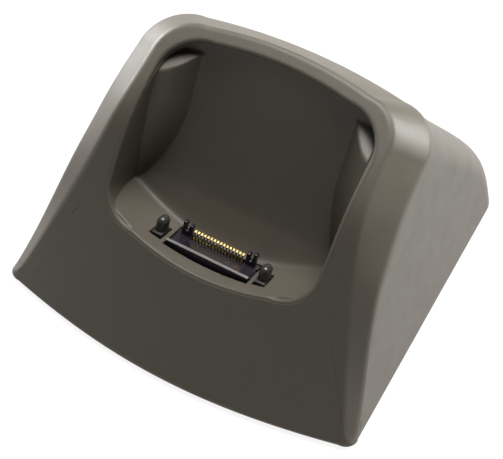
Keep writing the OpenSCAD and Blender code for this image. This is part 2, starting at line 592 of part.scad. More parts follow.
bracket_x = 21;
bracket_t = 3;
pin_length = 6.6;
module pivot_bracket() {
    color("#5b5d61") difference() {
        translate([0, panel_y + pivot_y, 0]) union() {
            translate([-bracket_screw_x - 3.4, -6, flange_z]) cube([2 * bracket_screw_x + 6.8, 12, flange_t]);
            for (s = [-1, 1]) translate([s > 0 ? bracket_x : -bracket_x - bracket_t, 0, 0]) {
                translate([0, -3.2, flange_z]) cube([bracket_t, 6.4, pivot_z - flange_z]);
                translate([0, 0, pivot_z]) rotate([0, 90, 0]) cylinder(h = bracket_t, r = 3.2);
            }
        }
        translate([-40, panel_y + pivot_y, pivot_z]) rotate([0, 90, 0]) cylinder(h = 80, r = pin_r);
        at([bracket_screw_x, pivot_y]) cylinder(h = flange_z + 5, r = 1);
    }
}
module bracket_screws() {
    color("#b9bbc0") at([bracket_screw_x, pivot_y]) translate([0, 0, flange_z + flange_t]) pan_screw(flange_t + 3);
}
module pivot_pin(side) {
    color("#c5c7cb") translate([side > 0 ? bracket_x + bracket_t - pin_length : -bracket_x - bracket_t,
        panel_y + pivot_y, pivot_z]) rotate([0, 90, 0]) cylinder(h = pin_length, r = pin_r);
}
// A round wire wound on a cylinder, as one swept tube
spring_turns = 5;
ring_per_turn = 10;
wire_sides = 6;
module coil_spring(length) {
    n = spring_turns * ring_per_turn;
    rise = length - spring_wire;
    polyhedron(points = [for (j = [0 : n]) for (i = [0 : wire_sides - 1])
            let (a = 360 * j / ring_per_turn, b = 360 * i / wire_sides, r = spring_r + spring_wire / 2 * cos(b))
            [r * cos(a), r * sin(a), spring_wire / 2 + rise * j / n + spring_wire / 2 * sin(b)]],
        faces = concat(
            [for (j = [0 : n - 1]) for (i = [0 : wire_sides - 1])
                let (a = j * wire_sides + i, b = j * wire_sides + (i + 1) % wire_sides, c = a + wire_sides,
                    d = b + wire_sides) each [[a, b, d], [a, d, c]]],
            [[for (i = [wire_sides - 1 : -1 : 0]) i]],
            [[for (i = [0 : wire_sides - 1]) n * wire_sides + i]]));
}
module tilt_spring(side, end) {
    color("#c5c7cb") translate([side * spring_x, panel_y + pivot_y + end * spring_reach, spring_low])
        coil_spring(spring_high - spring_low);
}

front_shell();
device_well();
rear_housing();
base_plate();
foot(-1, foot_front);  // foot_front_left
foot(1, foot_front);  // foot_front_right
foot(-1, foot_rear);  // foot_rear_left
foot(1, foot_rear);  // foot_rear_right
base_screws();
ballast_plate();
ballast_screws();
main_board();
board_screws();
dc_jack_body();
dc_jack_pin();
data_port_shell();
data_port_tongue();
charge_chip();
interface_chip();
power_inductor();
filter_capacitors();
ribbon_socket();
ribbon_cable();
pivot_bracket();
bracket_screws();
pivot_pin(-1);  // pivot_pin_left
pivot_pin(1);  // pivot_pin_right
tilt_spring(-1, -1);  // tilt_spring_front_left
tilt_spring(1, -1);  // tilt_spring_front_right
tilt_spring(-1, 1);  // tilt_spring_rear_left
tilt_spring(1, 1);  // tilt_spring_rear_right
connector_carrier();
guide_post(-1);  // guide_post_left
guide_post(1);  // guide_post_right
connector_board();
connector_housing();
alignment_horn(-1);  // alignment_horn_left
alignment_horn(1);  // alignment_horn_right
for (i = [1 : contact_count]) contact(i);
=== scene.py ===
"""Looks for the charging cradle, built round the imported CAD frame.

Shapes are worked out in millimetres on the front panel's chord plane (x across, v up the panel, h outwards),
with the CAD source's curves and a softer fillet at the back of the well's floor, then moved into the frame
in metres.
"""
import math

import bmesh
import bpy
import numpy as np
from mathutils import Matrix, Vector


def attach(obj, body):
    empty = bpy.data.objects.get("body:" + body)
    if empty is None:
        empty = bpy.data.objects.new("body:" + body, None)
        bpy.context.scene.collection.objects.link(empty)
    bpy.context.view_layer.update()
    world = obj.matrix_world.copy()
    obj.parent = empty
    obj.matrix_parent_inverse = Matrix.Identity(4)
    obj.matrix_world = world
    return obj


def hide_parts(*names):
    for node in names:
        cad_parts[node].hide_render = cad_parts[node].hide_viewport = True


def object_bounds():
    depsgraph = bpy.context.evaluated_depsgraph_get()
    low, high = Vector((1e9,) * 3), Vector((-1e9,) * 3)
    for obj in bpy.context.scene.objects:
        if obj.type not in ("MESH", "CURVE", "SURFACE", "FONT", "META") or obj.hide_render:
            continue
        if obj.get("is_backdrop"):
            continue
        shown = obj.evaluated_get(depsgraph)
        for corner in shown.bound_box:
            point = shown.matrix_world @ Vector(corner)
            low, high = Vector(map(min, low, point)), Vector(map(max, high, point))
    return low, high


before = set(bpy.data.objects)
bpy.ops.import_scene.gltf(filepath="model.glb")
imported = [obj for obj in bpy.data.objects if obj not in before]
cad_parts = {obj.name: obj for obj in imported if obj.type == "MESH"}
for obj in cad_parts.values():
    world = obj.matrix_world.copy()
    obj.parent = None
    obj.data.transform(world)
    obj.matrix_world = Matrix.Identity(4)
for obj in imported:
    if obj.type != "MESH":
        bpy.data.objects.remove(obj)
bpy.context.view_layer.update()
MM = 0.001

# ---- The curves of the casing
TILT_DEGREES = 46.2
TILT = math.radians(TILT_DEGREES)
SIN, COS = math.sin(TILT), math.cos(TILT)
LEAN = math.radians(19)
BASE_Z = 1.0
DEPTH = 120
HALF_BASE, HALF_TOP, LEAN_HEIGHT = 56.0, 42.3, 70
PANEL_LENGTH = 90.6
CREASE_TOP_V = PANEL_LENGTH - 2.3
CREASE_TOP_HALF = 34.6
SHELL_ARCH = 2.6
EDGE_FOOT_Y = 3.5
FOOT_ROLL = 1.5
EDGE_CORNER_R, CREASE_CORNER_R = 13, 11
WELL_HALF, WELL_LOW_V, WELL_TOP_V, WELL_MID_V = 31.9, 26.8, 85, 52.0
WELL_LOW_R, WELL_TOP_R = 11, 12
WELL_LOW_ARCH, WELL_TOP_ARCH = 3.2, 2.0
WELL_DRAUGHT = 0.6
POST_Y, FLOOR_HEIGHT = 17.7, 25.2


def face_rise(v):
    """The face's height on its middle line."""
    return 23.1 - 0.05 * (v - 60) - 0.31 * np.sqrt((v - 60) ** 2 + 64)


def face_bow(v):
    """How far the face falls from its middle line to its crease."""
    return 0.6 + (face_rise(0) - 0.6) * np.maximum(0, 1 - np.maximum(v, -6) / 75) ** 1.6


def bow_x(v):
    return CREASE_TOP_HALF + (HALF_BASE - CREASE_TOP_HALF) * np.clip(1 - v / 80, 0, 1) ** 1.9


def crease_x(v):
    return bow_x(v) - 2.4 * np.clip(1 - v / 28, 0, 1) ** 1.5


def face_h(x, v):
    return face_rise(v) - face_bow(v) * (x / bow_x(v)) ** 2


def edge_h(v):
    """The rear edge's height. It swells above the foot and drops away at the top."""
    return (-2.6 + 12 * np.sin(np.pi / 2 * np.clip(v / 48, 0, 1)) ** 2
            - 11.5 * (np.maximum(0, v - 60) / 30.6) ** 1.6)


def side_x(z):
    """Half the casing's width at a height above the base plane."""
    return HALF_TOP + (HALF_BASE - HALF_TOP) * np.clip(1 - z / LEAN_HEIGHT, 0, 1) ** 1.45


def edge_x(v):
    return side_x(v * SIN + edge_h(v) * COS)


def foot_v(x):
    """Where the face meets the base plane, found by repetition."""
    v = np.zeros_like(np.asarray(x, float))
    for _ in range(10):
        v = -face_h(x, v) / math.tan(TILT)
    return v


def front_y(x):
    return foot_v(x) / COS


PANEL_Y = -DEPTH / 2 - float(front_y(0.0))


def panel(x, v, h):
    """Points of the chord plane's axes, as rows in the frame's axes, in millimetres."""
    x, v, h = np.broadcast_arrays(x, v, h)
    return np.stack([x, PANEL_Y + v * COS - h * SIN, BASE_Z + v * SIN + h * COS], -1)


# ---- Outlines: half a ring from the lower middle to the upper middle, mirrored into a whole one
N_BOTTOM, N_CORNER, N_SIDE, N_TOP = 40, 22, 60, 24


def corner(cx, cv, r, start):
    a = np.radians(start + 90 * np.arange(N_CORNER + 1) / N_CORNER)
    return np.stack([cx + r * np.cos(a), cv + r * np.sin(a)], 1)


def whole(half):
    mirrored = half[-2:0:-1] * np.array([-1] + [1] * (half.shape[1] - 1))
    return np.concatenate([half, mirrored])


def arched_top(cx, v, arch):
    x = cx * (1 - np.arange(1, N_TOP + 1) / N_TOP)
    return np.stack([x, v + arch * (1 - (x / cx) ** 2)], 1)


def edge_half(inset):
    """The rear edge of the front shell, moved inwards: x, v, h."""
    r, v1, rb, xb = EDGE_CORNER_R - inset, PANEL_LENGTH - EDGE_CORNER_R, 4.0, HALF_BASE - inset
    cx = float(edge_x(v1)) - inset - r
    x = (xb - rb) * np.arange(N_BOTTOM + 1) / N_BOTTOM
    y = front_y(x) + inset
    bottom = np.stack([x, y * COS, -y * SIN], 1)
    a = np.radians(90 * np.arange(1, N_CORNER + 1) / N_CORNER)
    y = EDGE_FOOT_Y + (float(front_y(xb - rb)) + inset - EDGE_FOOT_Y) * np.cos(a)
    turn = np.stack([xb - rb * (1 - np.sin(a)), y * COS, -y * SIN], 1)
    v0 = EDGE_FOOT_Y * COS
    v = v0 + (v1 - v0) * np.arange(1, N_SIDE) / N_SIDE
    side = np.stack([edge_x(v) - inset, v, np.maximum(edge_h(v), -v * SIN / COS)], 1)
    top = np.concatenate([corner(cx, v1, r, 0), arched_top(cx, PANEL_LENGTH - inset, SHELL_ARCH)])
    return np.concatenate([bottom, turn, side, np.column_stack([top, edge_h(top[:, 1])])])


def crease_half(inset):
    """An outline on the face, between the crease and the well: x, v."""
    r, v1, rb = CREASE_CORNER_R - inset, CREASE_TOP_V - CREASE_CORNER_R, 1.5
    xb = float(crease_x(0.0)) - inset - 0.3
    cx = float(crease_x(v1)) - inset - r
    x = (xb - rb) * np.arange(N_BOTTOM + 1) / N_BOTTOM
    bottom = np.stack([x, foot_v(x) + FOOT_ROLL + inset], 1)
    a = np.radians(90 * np.arange(1, N_CORNER + 1) / N_CORNER)
    v0 = float(foot_v(xb - rb)) + FOOT_ROLL + inset
    turn = np.stack([xb - rb * (1 - np.sin(a)), v0 + rb * (1 - np.cos(a))], 1)
    v = v0 + rb + (v1 - v0 - rb) * np.arange(1, N_SIDE) / N_SIDE
    side = np.stack([crease_x(v) - inset, v], 1)
    return np.concatenate([bottom, turn, side, corner(cx, v1, r, 0),
                           arched_top(cx, CREASE_TOP_V - inset, SHELL_ARCH)])


def well_half(grow):
    """The well's outline, moved outwards: x, v."""
    half, rb, rt = WELL_HALF + grow, WELL_LOW_R + grow, WELL_TOP_R + grow
    cb, ct = half - rb, half - rt
    v0, v1 = WELL_LOW_V + WELL_LOW_ARCH + WELL_LOW_R, WELL_TOP_V - WELL_TOP_R
    x = cb * np.arange(N_BOTTOM + 1) / N_BOTTOM
    bottom = np.stack([x, WELL_LOW_V - grow + WELL_LOW_ARCH * (x / cb) ** 2], 1)
    side_v = v0 + (v1 - v0) * np.arange(1, N_SIDE) / N_SIDE
    side = np.stack([np.full_like(side_v, half), side_v], 1)
    return np.concatenate([bottom, corner(cb, v0, rb, -90)[1:], side, corner(ct, v1, rt, 0),
                           arched_top(ct, WELL_TOP_V + grow, WELL_TOP_ARCH)])


# ---- The well's inside, as heights above the chord plane
FLOOR_DROP = COS - math.tan(LEAN) * SIN
FLOOR_FALL = (SIN + math.tan(LEAN) * COS) / FLOOR_DROP
RIM_CLEARANCE = 1.2
FILLET = 2.4


def smooth_max(a, b, k):
    return (a + b + np.sqrt((a - b) ** 2 + k * k)) / 2


def floor_h(x, v):
    """The floor, dished towards its sides, raised a little at the front and kept below the rim."""
    rise = 0.0085 * x * x + 0.7 * np.clip((30.8 - v) / 2.2, 0, 1)
    flat = (FLOOR_HEIGHT + math.tan(LEAN) * POST_Y + rise) / FLOOR_DROP - FLOOR_FALL * v
    return -smooth_max(-flat, RIM_CLEARANCE - face_h(x, v), 0.4)


def back_h(x, v):
    return -2.4 + 13.7 * (np.maximum(0, v - 45) / 40.5) ** 1.5 + 1.5 * (x / 31) ** 4


def guide_h(x, v):
    """The guides, which swell out of the back wall along the sides and widen upwards."""
    w = np.maximum(1e-6, 8.5 * (1 - np.clip((66 - v) / 26, 0, 1) ** 1.7))
    t = (np.abs(x) - (WELL_HALF - WELL_DRAUGHT - w)) / w
    rise = w * np.sin(np.pi / 2 * np.clip(t, 0, 1))
    return np.where((t <= 0) | (w < 0.02), -99.0, back_h(x, v) + rise)


def ledge_h(v):
    """The flat ledge that cuts off the guides at the top."""
    return 61 - 0.63 * v


def well_h(x, v):
    guide = np.minimum(guide_h(x, v), ledge_h(v))
    return np.maximum(smooth_max(floor_h(x, v), back_h(x, v), FILLET), guide)


def underside_h(x, v):
    guide = np.minimum(guide_h(x, v), ledge_h(v)) - 3
    return np.minimum(np.maximum.reduce([floor_h(x, v) - 4.8, back_h(x, v) - 2.2, guide]), face_h(x, v) - 3)


# ---- The rear housing: outlines on planes that fan out from the panel's lower corners
HOUSING_INSET = 0.2
FAN_START = 4
HEEL_ROUND = 12
BACK_REACH, BACK_SLOPE = 131.4, 1.06
HEEL_Y = DEPTH + float(front_y(0.0)) + HOUSING_INSET
REAR_Y = HEEL_Y + HEEL_ROUND ** 2 / (4 * (BACK_REACH - HEEL_Y))


def fan_row(a, inset):
    """The housing's outline on the plane at angle a above the base."""
    s = a / TILT

    def fan_h(r):
        return (edge_h(r) - 0.25 - 1.2 * np.maximum(0, 1 - r / 22) ** 2) * s * s

    def fan_x(r):
        return side_x(r * math.sin(a) + fan_h(r) * math.cos(a)) - inset

    heel, back = REAR_Y / math.cos(a), BACK_REACH / (math.cos(a) + BACK_SLOPE * math.sin(a))
    reach = (heel + back - math.sqrt((heel - back) ** 2 + HEEL_ROUND ** 2)) / 2 - inset
    top = reach + (PANEL_LENGTH - inset - reach) * s ** 6
    rc = 10 + 3 * s - inset
    r1 = top - rc
    cx = float(fan_x(r1)) - rc
    r = FAN_START + inset + (r1 - FAN_START - inset) * np.arange(N_SIDE + 1) / N_SIDE
    p = np.concatenate([np.stack([fan_x(r), r], 1), corner(cx, r1, rc, 0)[1:],
                        arched_top(cx, top, SHELL_ARCH * s ** 3)])
    h = fan_h(p[:, 1])
    half = np.stack([p[:, 0], PANEL_Y + p[:, 1] * math.cos(a) - h * math.sin(a),
                     BASE_Z + p[:, 1] * math.sin(a) + h * math.cos(a)], 1)
    return np.concatenate([half, half[-2::-1] * np.array([-1, 1, 1])])


# ---- Meshes
def build(name, points, faces, body, mat):
    """A mesh object from points in millimetres. It rides on body."""
    mesh = bpy.data.meshes.new(name)
    mesh.from_pydata((np.asarray(points, float) * MM).tolist(), [], faces)
    mesh.validate()
    mesh.polygons.foreach_set("use_smooth", [True] * len(mesh.polygons))
    mesh.materials.append(mat)
    obj = bpy.data.objects.new(name, mesh)
    bpy.context.scene.collection.objects.link(obj)
    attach(obj, body)
    return obj


def loft(rings, close_rings=False, close_across=True):
    """Points and quads of rings with equal counts, joined in order."""
    n, m = len(rings[0]), len(rings)
    points = np.concatenate(rings)
    last, across = (m if close_rings else m - 1), (n if close_across else n - 1)
    faces = [(j * n + i, j * n + (i + 1) % n, ((j + 1) % m) * n + (i + 1) % n, ((j + 1) % m) * n + i)
             for j in range(last) for i in range(across)]
    return points, faces


def outwards(obj):
    """Turns the faces of a closed mesh outwards."""
    bm = bmesh.new()
    bm.from_mesh(obj.data)
    bmesh.ops.remove_doubles(bm, verts=bm.verts, dist=1e-7)
    bmesh.ops.recalc_face_normals(bm, faces=bm.faces)
    bm.to_mesh(obj.data)
    bm.free()
    return obj


# ---- Materials
MIX_A, MIX_B, MIX_RESULT = 6, 7, 2


def material(name, color, roughness, metallic=0.0, grain=0.0, grain_scale=9000.0, bump=0.0, mottle=0.12,
             mottle_scale=160.0, specular=0.5, coat=0.0, edge_highlight=0.0, stretch=(1, 1, 1)):
    """Principled surface with a fine grain, slow tone variation and paler raised edges, a painted highlight
    where light catches the edges.
    """
    mat = bpy.data.materials.new(name)
    mat.use_nodes = True
    nodes, links = mat.node_tree.nodes, mat.node_tree.links
    shader = nodes["Principled BSDF"]
    shader.inputs["Metallic"].default_value = metallic
    shader.inputs["Specular IOR Level"].default_value = specular
    shader.inputs["Coat Weight"].default_value = coat
    shader.inputs["Coat Roughness"].default_value = 0.2
    place = nodes.new("ShaderNodeTexCoord")
    mapping = nodes.new("ShaderNodeMapping")
    mapping.inputs["Scale"].default_value = stretch
    links.new(place.outputs["Object"], mapping.inputs["Vector"])

    def noise(scale, detail):
        node = nodes.new("ShaderNodeTexNoise")
        node.inputs["Scale"].default_value = scale
        node.inputs["Detail"].default_value = detail
        links.new(mapping.outputs["Vector"], node.inputs["Vector"])
        return node.outputs["Fac"]

    def ramp(source, low, high):
        node = nodes.new("ShaderNodeMapRange")
        node.inputs["From Min"].default_value, node.inputs["From Max"].default_value = 0.3, 0.7
        node.inputs["To Min"].default_value, node.inputs["To Max"].default_value = low, high
        links.new(source, node.inputs["Value"])
        return node.outputs["Result"]

    fine, slow = noise(grain_scale, 2.0), noise(mottle_scale, 4.0)
    tone = nodes.new("ShaderNodeMix")
    tone.data_type = "RGBA"
    tone.inputs[MIX_A].default_value = (*[c * (1 - mottle) for c in color], 1)
    tone.inputs[MIX_B].default_value = (*[min(1, c * (1 + mottle)) for c in color], 1)
    links.new(slow, tone.inputs[0])
    colour = tone.outputs[MIX_RESULT]
    if grain:
        speck = nodes.new("ShaderNodeMix")
        speck.data_type, speck.blend_type = "RGBA", "MULTIPLY"
        speck.inputs[0].default_value = 1.0
        links.new(colour, speck.inputs[MIX_A])
        links.new(ramp(fine, 1 - grain, 1 + grain), speck.inputs[MIX_B])
        colour = speck.outputs[MIX_RESULT]
    # Raised edges, found by pointiness, are painted paler: a painted highlight where light catches them.
    if edge_highlight:
        geometry = nodes.new("ShaderNodeNewGeometry")
        edge = nodes.new("ShaderNodeMapRange")
        edge.inputs["From Min"].default_value, edge.inputs["From Max"].default_value = 0.52, 0.62
        edge.inputs["To Max"].default_value = edge_highlight
        links.new(geometry.outputs["Pointiness"], edge.inputs["Value"])
        edge_lit = nodes.new("ShaderNodeMix")
        edge_lit.data_type = "RGBA"
        edge_lit.inputs[MIX_B].default_value = (*[min(1, c * 1.5 + 0.03) for c in color], 1)
        links.new(edge.outputs["Result"], edge_lit.inputs[0])
        links.new(colour, edge_lit.inputs[MIX_A])
        colour = edge_lit.outputs[MIX_RESULT]
    links.new(colour, shader.inputs["Base Color"])
    links.new(ramp(slow, max(0.02, roughness - 0.04), min(1, roughness + 0.04)), shader.inputs["Roughness"])
    if bump:
        node = nodes.new("ShaderNodeBump")
        node.inputs["Strength"].default_value = bump
        node.inputs["Distance"].default_value = 0.0001
        links.new(fine, node.inputs["Height"])
        links.new(node.outputs["Normal"], shader.inputs["Normal"])
    return mat


# The casing's raised edges are painted a little paler, a painted highlight along its edges.
CASING = material("casing_plastic", (0.087, 0.076, 0.060), 0.42, grain=0.10, bump=0.25, mottle=0.05, edge_highlight=0.12,
                  specular=0.24)
UNDERSIDE = material("base_plastic", (0.045, 0.043, 0.040), 0.6, grain=0.12, bump=0.3, mottle=0.06)
RUBBER = material("foot_rubber", (0.02, 0.02, 0.022), 0.85, grain=0.2, bump=0.5, grain_scale=5000)
BLACK = material("connector_black", (0.012, 0.010, 0.016), 0.3, grain=0.1, bump=0.1, mottle=0.1, specular=0.6)
POST = material("post_black", (0.035, 0.033, 0.030), 0.3, grain=0.1, bump=0.1, mottle=0.08, specular=0.6)
# A paler grey for the connector ledge's front top edge: a painted highlight where light catches the black
# housing's ledge.
LEDGE_HIGHLIGHT = material("connector_ledge_painted_highlight", (0.17, 0.16, 0.16), 0.3, grain=0.1, mottle=0.1, specular=0.8)
BLACK_MATT = material("moulding_black", (0.02, 0.02, 0.021), 0.55, grain=0.15, bump=0.2)
GOLD = material("contact_gold", (0.83, 0.62, 0.27), 0.28, metallic=1.0, mottle=0.08, mottle_scale=900,
                grain=0.05)
STEEL = material("screw_steel", (0.56, 0.57, 0.6), 0.33, metallic=1.0, mottle=0.1, grain=0.06, bump=0.1,
                 stretch=(1, 1, 6))
PLATE = material("plain_steel", (0.3, 0.31, 0.33), 0.45, metallic=1.0, grain=0.14, grain_scale=2500, bump=0.25,
                 mottle=0.18, mottle_scale=90, stretch=(0.12, 1, 1))
BOARD = material("solder_mask", (0.012, 0.085, 0.04), 0.35, mottle=0.15, mottle_scale=300, coat=0.4)
TIN = material("tin_plate", (0.62, 0.62, 0.64), 0.3, metallic=1.0, mottle=0.08, grain=0.05, bump=0.1)
NICKEL = material("nickel", (0.6, 0.58, 0.53), 0.22, metallic=1.0, mottle=0.05, grain=0.04)
CHIP = material("chip_black", (0.016, 0.016, 0.017), 0.65, grain=0.2, bump=0.4, grain_scale=6000)
CAN = material("capacitor_can", (0.6, 0.61, 0.63), 0.38, metallic=1.0, mottle=0.08, grain=0.06)
CREAM = material("socket_cream", (0.62, 0.57, 0.43), 0.5, mottle=0.06, grain=0.06, bump=0.15)
FILM = material("ribbon_film", (0.36, 0.13, 0.02), 0.22, mottle=0.12, mottle_scale=400, coat=0.3)

BY_NODE = {
    "base_plate": UNDERSIDE, "ballast_plate": PLATE, "main_board": BOARD, "connector_board": BOARD,
    "dc_jack_body": BLACK_MATT, "data_port_tongue": BLACK_MATT, "connector_carrier": BLACK_MATT,
    "data_port_shell": TIN, "dc_jack_pin": NICKEL, "charge_chip": CHIP, "interface_chip": CHIP,
    "power_inductor": CHIP, "filter_capacitors": CAN, "ribbon_socket": CREAM, "ribbon_cable": FILM,
    "pivot_bracket": PLATE, "connector_housing": BLACK, "front_shell": CASING, "device_well": CASING,
    "rear_housing": CASING,
}
BY_START = {"contact_": GOLD, "foot_": RUBBER, "guide_post": BLACK, "alignment_horn": BLACK}


def node_material(name):
    """The CAD node's material. Screws, pins and springs are steel."""
    alike = [mat for start, mat in BY_START.items() if name.startswith(start)]
    return BY_NODE.get(name) or (alike[0] if alike else STEEL)


for name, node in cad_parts.items():
    node.data.materials.clear()
    node.data.materials.append(node_material(name))

# ---- Front shell
CREASE_R = EDGE_R = 1.3
SHELL_WALL = 2.0
UNDER_BACK = 0.55
UNDER_EDGE = [0, 0.41, 0.88]
OPENING_GROW = 0.74
FACE_STEPS = [*np.linspace(0, 1, 20)[1:-1], 0.993, 1]


def on_face(outline, drop):
    return panel(outline[:, 0], outline[:, 1], face_h(outline[:, 0], outline[:, 1]) - drop)


def points_of(half):
    p = whole(half)
    return panel(p[:, 0], p[:, 1], p[:, 2])


def height(p):
    return p[:, 1] * SIN + p[:, 2] * COS


def towards(start, end, length):
    """Points on the lines from start to end, length away from start but short of the middle."""
    span = end - start
    return start + span * np.minimum(0.45, length / np.linalg.norm(span, axis=1))[:, None]


def rounded(a, b, c, steps):
    """Outlines from a to c, round the corner b."""
    return [points_of(a * (1 - t) ** 2 + b * 2 * t * (1 - t) + c * t * t) for t in np.linspace(0, 1, steps)]


# On the sides the rear edge rounds over from the side wall. Along the base it rolls under instead.
rear = edge_half(0)
count = np.arange(len(rear))
on_side = np.clip((count - N_BOTTOM) / N_CORNER, 0, 1) ** 2
rear = rear + np.outer(UNDER_BACK * (1 - on_side), [0, COS, -SIN])
outer = rear + np.outer(on_side, [0, 0, EDGE_R]) + np.outer(1 - on_side, UNDER_EDGE)
straight = (count > N_BOTTOM + N_CORNER) & (count <= N_BOTTOM + N_CORNER + N_SIDE)
outer[:, 0] += straight * (side_x(height(outer)) - side_x(height(rear)))

# The crease's rounding shrinks towards the base.
low, high = crease_half(0), crease_half(CREASE_R)
turned = low + (high - low) * (0.3 + 0.7 * np.clip(low[:, 1] / 30, 0, 1))[:, None]
sharp = np.column_stack([low, face_h(low[:, 0], low[:, 1])])
turned = np.column_stack([turned, face_h(turned[:, 0], turned[:, 1])])

flank, first = towards(outer, sharp, EDGE_R), towards(sharp, outer, CREASE_R)
rings = [points_of(edge_half(0.7)), points_of(edge_half(0.06) + (rear - edge_half(0)))]
rings += rounded(rear, outer, flank, 9)
rings += [points_of(flank + (first - flank) * t) for t in (0.2, 0.4, 0.6, 0.8)]
rings += rounded(first, sharp, turned, 9)
face_edge, opening = whole(turned[:, :2]), whole(well_half(OPENING_GROW))
rings += [on_face(face_edge + (opening - face_edge) * t, 0) for t in FACE_STEPS]
inner = whole(crease_half(2 * SHELL_WALL))
rings += [on_face(opening, 0.05), on_face(opening, SHELL_WALL),
          on_face(opening + (inner - opening) * 0.5, SHELL_WALL), on_face(inner, 1.6)]
rings.append(points_of(edge_half(SHELL_WALL)))
points, faces = loft(rings, close_rings=True)
front = outwards(build("front_shell_look", points, faces, "cradle", CASING))
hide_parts("front_shell")


# ---- Solids that cut or join
def solid(name, mesh):
    obj = bpy.data.objects.new(name, mesh)
    bpy.context.scene.collection.objects.link(obj)
    return obj


def mesh_of(name, bm):
    mesh = bpy.data.meshes.new(name)
    bm.to_mesh(mesh)
    bm.free()
    return mesh


def box(name, low, high, matrix=Matrix()):
    bm = bmesh.new()
    bmesh.ops.create_cube(bm, size=1)
    for v in bm.verts:
        v.co = Vector([(low[i] + high[i]) / 2 + v.co[i] * (high[i] - low[i]) for i in range(3)]) * MM
    mesh = mesh_of(name, bm)
    mesh.transform(matrix)
    return solid(name, mesh)


def rod(name, at, r, length):
    """A rod that runs backwards along y."""
    bm = bmesh.new()
    bmesh.ops.create_cone(bm, cap_ends=True, segments=64, radius1=r * MM, radius2=r * MM, depth=length * MM)
    mesh = mesh_of(name, bm)
    mesh.transform(Matrix.Translation(Vector(at) * MM) @ Matrix.Rotation(math.pi / 2, 4, "X"))
    return solid(name, mesh)


def prism(name, outline, x0, x1):
    """A solid with the outline (p, q) between x0 and x1."""
    k = len(outline)
    mesh = bpy.data.meshes.new(name)
    mesh.from_pydata([(x * MM, p * MM, q * MM) for x in (x0, x1) for p, q in outline], [],
                     [tuple(range(k))[::-1], tuple(range(k, 2 * k))]
                     + [(i, (i + 1) % k, k + (i + 1) % k, k + i) for i in range(k)])
    return solid(name, mesh)


def with_modifier(obj, kind, **settings):
    """Gives obj the mesh that a modifier makes of it."""
    modifier = obj.modifiers.new("step", kind)
    for key, value in settings.items():
        setattr(modifier, key, value)
    bpy.context.view_layer.update()
    result = bpy.data.meshes.new_from_object(obj.evaluated_get(bpy.context.evaluated_depsgraph_get()))
    obj.modifiers.remove(modifier)
    obj.data = result


def joined(obj, other, operation="UNION"):
    """Combines obj with another solid, which it uses up."""
    with_modifier(obj, "BOOLEAN", operation=operation, solver="EXACT", object=other)
    mesh = other.data
    bpy.data.objects.remove(other)
    bpy.data.meshes.remove(mesh)


def cut(obj, other):
    joined(obj, other, "DIFFERENCE")


# ---- Device well: its underside, rounded rim, draughted walls, and the inside down to the middle
DOCK = (Matrix.Translation((0, (PANEL_Y + POST_Y) * MM, (BASE_Z + FLOOR_HEIGHT) * MM))
        @ Matrix.Rotation(-LEAN, 4, "X"))
RIM_OUT, RIM_IN, RIM_DROP = 0.64, 0.45, 0.95
SLOT_HALF, SLOT_FRONT, SLOT_BACK = 13.0, -4.66, 6.54
POST_X, POST_SLOT_HALF, POST_SLOT_FRONT, POST_SLOT_BACK = 16, 1.85, -3.9, 3.2
CUT_LOW, CUT_HIGH = -6, 6


def shrunk(outline, s):
    middle = np.array([0, WELL_MID_V])
    return middle + (outline - middle) * s


outside, lip, inside = whole(well_half(0.7)), whole(well_half(-RIM_IN)), whole(well_half(-WELL_DRAUGHT))
rings = []
for s in np.linspace(0.04, 1, 25):
    x, v = shrunk(outside, s).T
    rings.append(panel(x, v, underside_h(x, v)))
rings += [on_face(outside, drop) for drop in (2.4, 0.05, 0)] + [on_face(whole(well_half(RIM_OUT)), 0)]
for a in np.radians(np.arange(10, 91, 10)):
    rings.append(on_face(whole(well_half(RIM_OUT - (RIM_OUT + RIM_IN) * math.sin(a))),
                         RIM_DROP * (1 - math.cos(a))))
wall_top = face_h(lip[:, 0], lip[:, 1]) - RIM_DROP
wall_foot = well_h(inside[:, 0], inside[:, 1])
for t in np.linspace(0, 1, 26)[1:]:
    x, v = (lip + (inside - lip) * t).T
    rings.append(panel(x, v, np.minimum(wall_top, wall_top + (wall_foot - wall_top) * t)))
for s in np.linspace(1, 0.02, 110)[1:]:
    x, v = shrunk(inside, s).T
    rings.append(panel(x, v, well_h(x, v)))
points, faces = loft(rings)
n, last = len(rings[0]), len(points)
points = np.concatenate([points, panel(0, WELL_MID_V, well_h(0.0, WELL_MID_V)).reshape(1, 3),
                         panel(0, WELL_MID_V, underside_h(0.0, WELL_MID_V)).reshape(1, 3)])
faces += [(last - n + i, last - n + (i + 1) % n, last) for i in range(n)]
faces += [((i + 1) % n, i, last + 1) for i in range(n)]
well = outwards(build("device_well_look", points, faces, "cradle", CASING))
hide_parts("device_well")
cut(well, box("slot", (-SLOT_HALF, SLOT_FRONT, CUT_LOW), (SLOT_HALF, SLOT_BACK, CUT_HIGH), DOCK))
for x in (-POST_X, POST_X):
    cut(well, box("slot", (x - POST_SLOT_HALF, POST_SLOT_FRONT, CUT_LOW),
                  (x + POST_SLOT_HALF, POST_SLOT_BACK, CUT_HIGH), DOCK))

